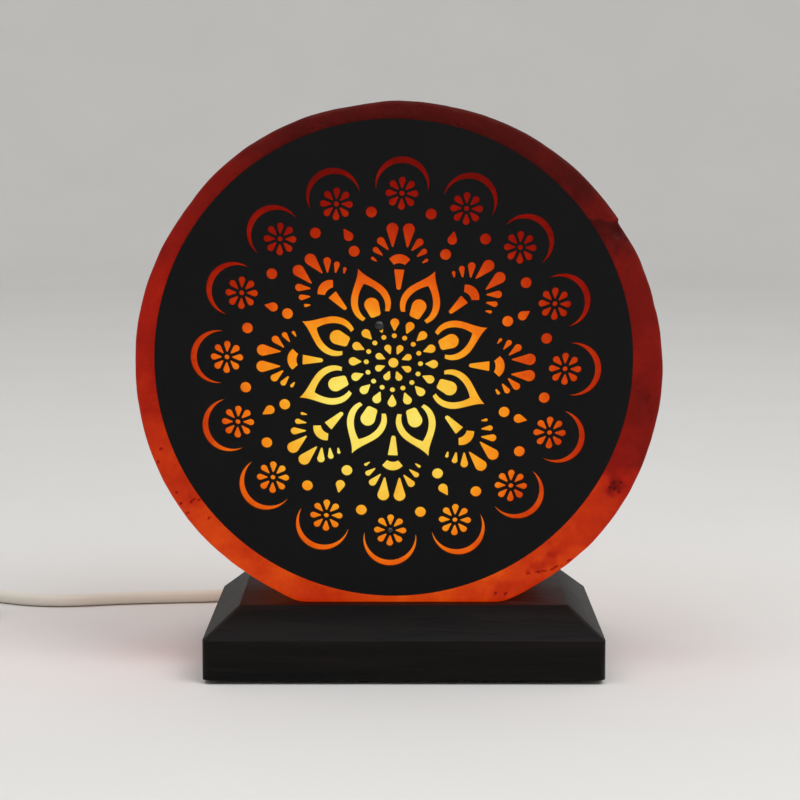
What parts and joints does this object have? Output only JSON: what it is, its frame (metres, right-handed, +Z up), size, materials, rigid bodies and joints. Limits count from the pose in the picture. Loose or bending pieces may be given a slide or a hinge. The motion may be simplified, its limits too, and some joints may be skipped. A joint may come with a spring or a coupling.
{
  "type": "salt crystal lamp",
  "caption": "Round block of salt crystal on a black bevelled wooden base, lit from inside, with a thin black cut-out pattern plate on its front and a white switched lead.",
  "frame": {"origin": "on the table, under the middle of the lamp without its lead; the salt disc's axis runs along Y through x = 0", "axes": "+Z up, -Y towards the viewer, where the pattern plate faces, +X to the viewer's right"},
  "size_m": [0.3214, 0.2033, 0.198],
  "materials": {
    "salt": "natural salt crystal, sawn and ground, lit from within",
    "plate_paint": "matt black powder coat",
    "pin_black": "black, slightly glossy",
    "stained_wood": "black stain with a satin lacquer",
    "foot_rubber": "matt",
    "zinc_steel": "zinc plated",
    "spring_steel": "bright spring steel",
    "wall_plug_plastic": "grey nylon",
    "holder_plastic": "black moulded resin",
    "contact_brass": "plain",
    "bulb_clear_glass": "clear",
    "insulator_black": "black glass",
    "solder": "dull solder",
    "filament_wire": "glowing",
    "lead_white": "white flexible sheath, slightly glossy",
    "core_brown": "core insulation",
    "tie_black": "black woven tie",
    "switch_white": "white moulded",
    "plug_white": "white moulded",
    "pin_nickel": "nickel plated",
    "sleeve_black": "black insulating sleeve"
  },
  "bodies": {
    "lamp": {"salt_disc": "salt", "pattern_plate": "plate_paint", "plate_pins": "pin_black", "plate_pin_plugs": "wall_plug_plastic", "wooden_base": "stained_wood", "base_feet": "foot_rubber", "salt_screws": "zinc_steel", "salt_screw_plugs": "wall_plug_plastic", "holder_cap": "holder_plastic", "holder_body": "holder_plastic", "holder_spring_clips": "spring_steel", "holder_clip_screws": "zinc_steel", "holder_centre_contact": "contact_brass", "holder_side_contact": "contact_brass", "holder_terminal_screws": "zinc_steel", "bulb_glass": "bulb_clear_glass", "bulb_screw_cap": "contact_brass", "bulb_insulator": "insulator_black", "bulb_tip_contact": "solder", "bulb_glass_stem": "bulb_clear_glass", "bulb_support_wires": "zinc_steel", "bulb_filament": "filament_wire", "lead_strain_relief": "lead_white", "inner_lead": "lead_white", "inner_lead_cores": "core_brown", "lead_to_switch": "lead_white", "lead_to_coil": "lead_white", "lead_coil": "lead_white", "coil_tie": "tie_black", "lead_to_plug": "lead_white", "switch_lower_housing": "switch_white", "switch_upper_housing": "switch_white", "switch_contacts": "contact_brass", "switch_cores": "core_brown", "switch_screws": "zinc_steel", "switch_strain_reliefs": "lead_white", "plug_body": "plug_white", "plug_strain_relief": "lead_white", "plug_pins": "pin_nickel", "plug_pin_sleeves": "sleeve_black"},
    "rocker": {"switch_rocker": "switch_white", "switch_bridge": "contact_brass"}
  },
  "joints": [
    {"name": "switch_rocker_tilt", "type": "hinge", "parent": "lamp", "child": "rocker", "pos_m": [-0.2204, 0.0225, 0.0112], "axis": [1, 0, 0], "range_deg": [-24, 0]}
  ]
}
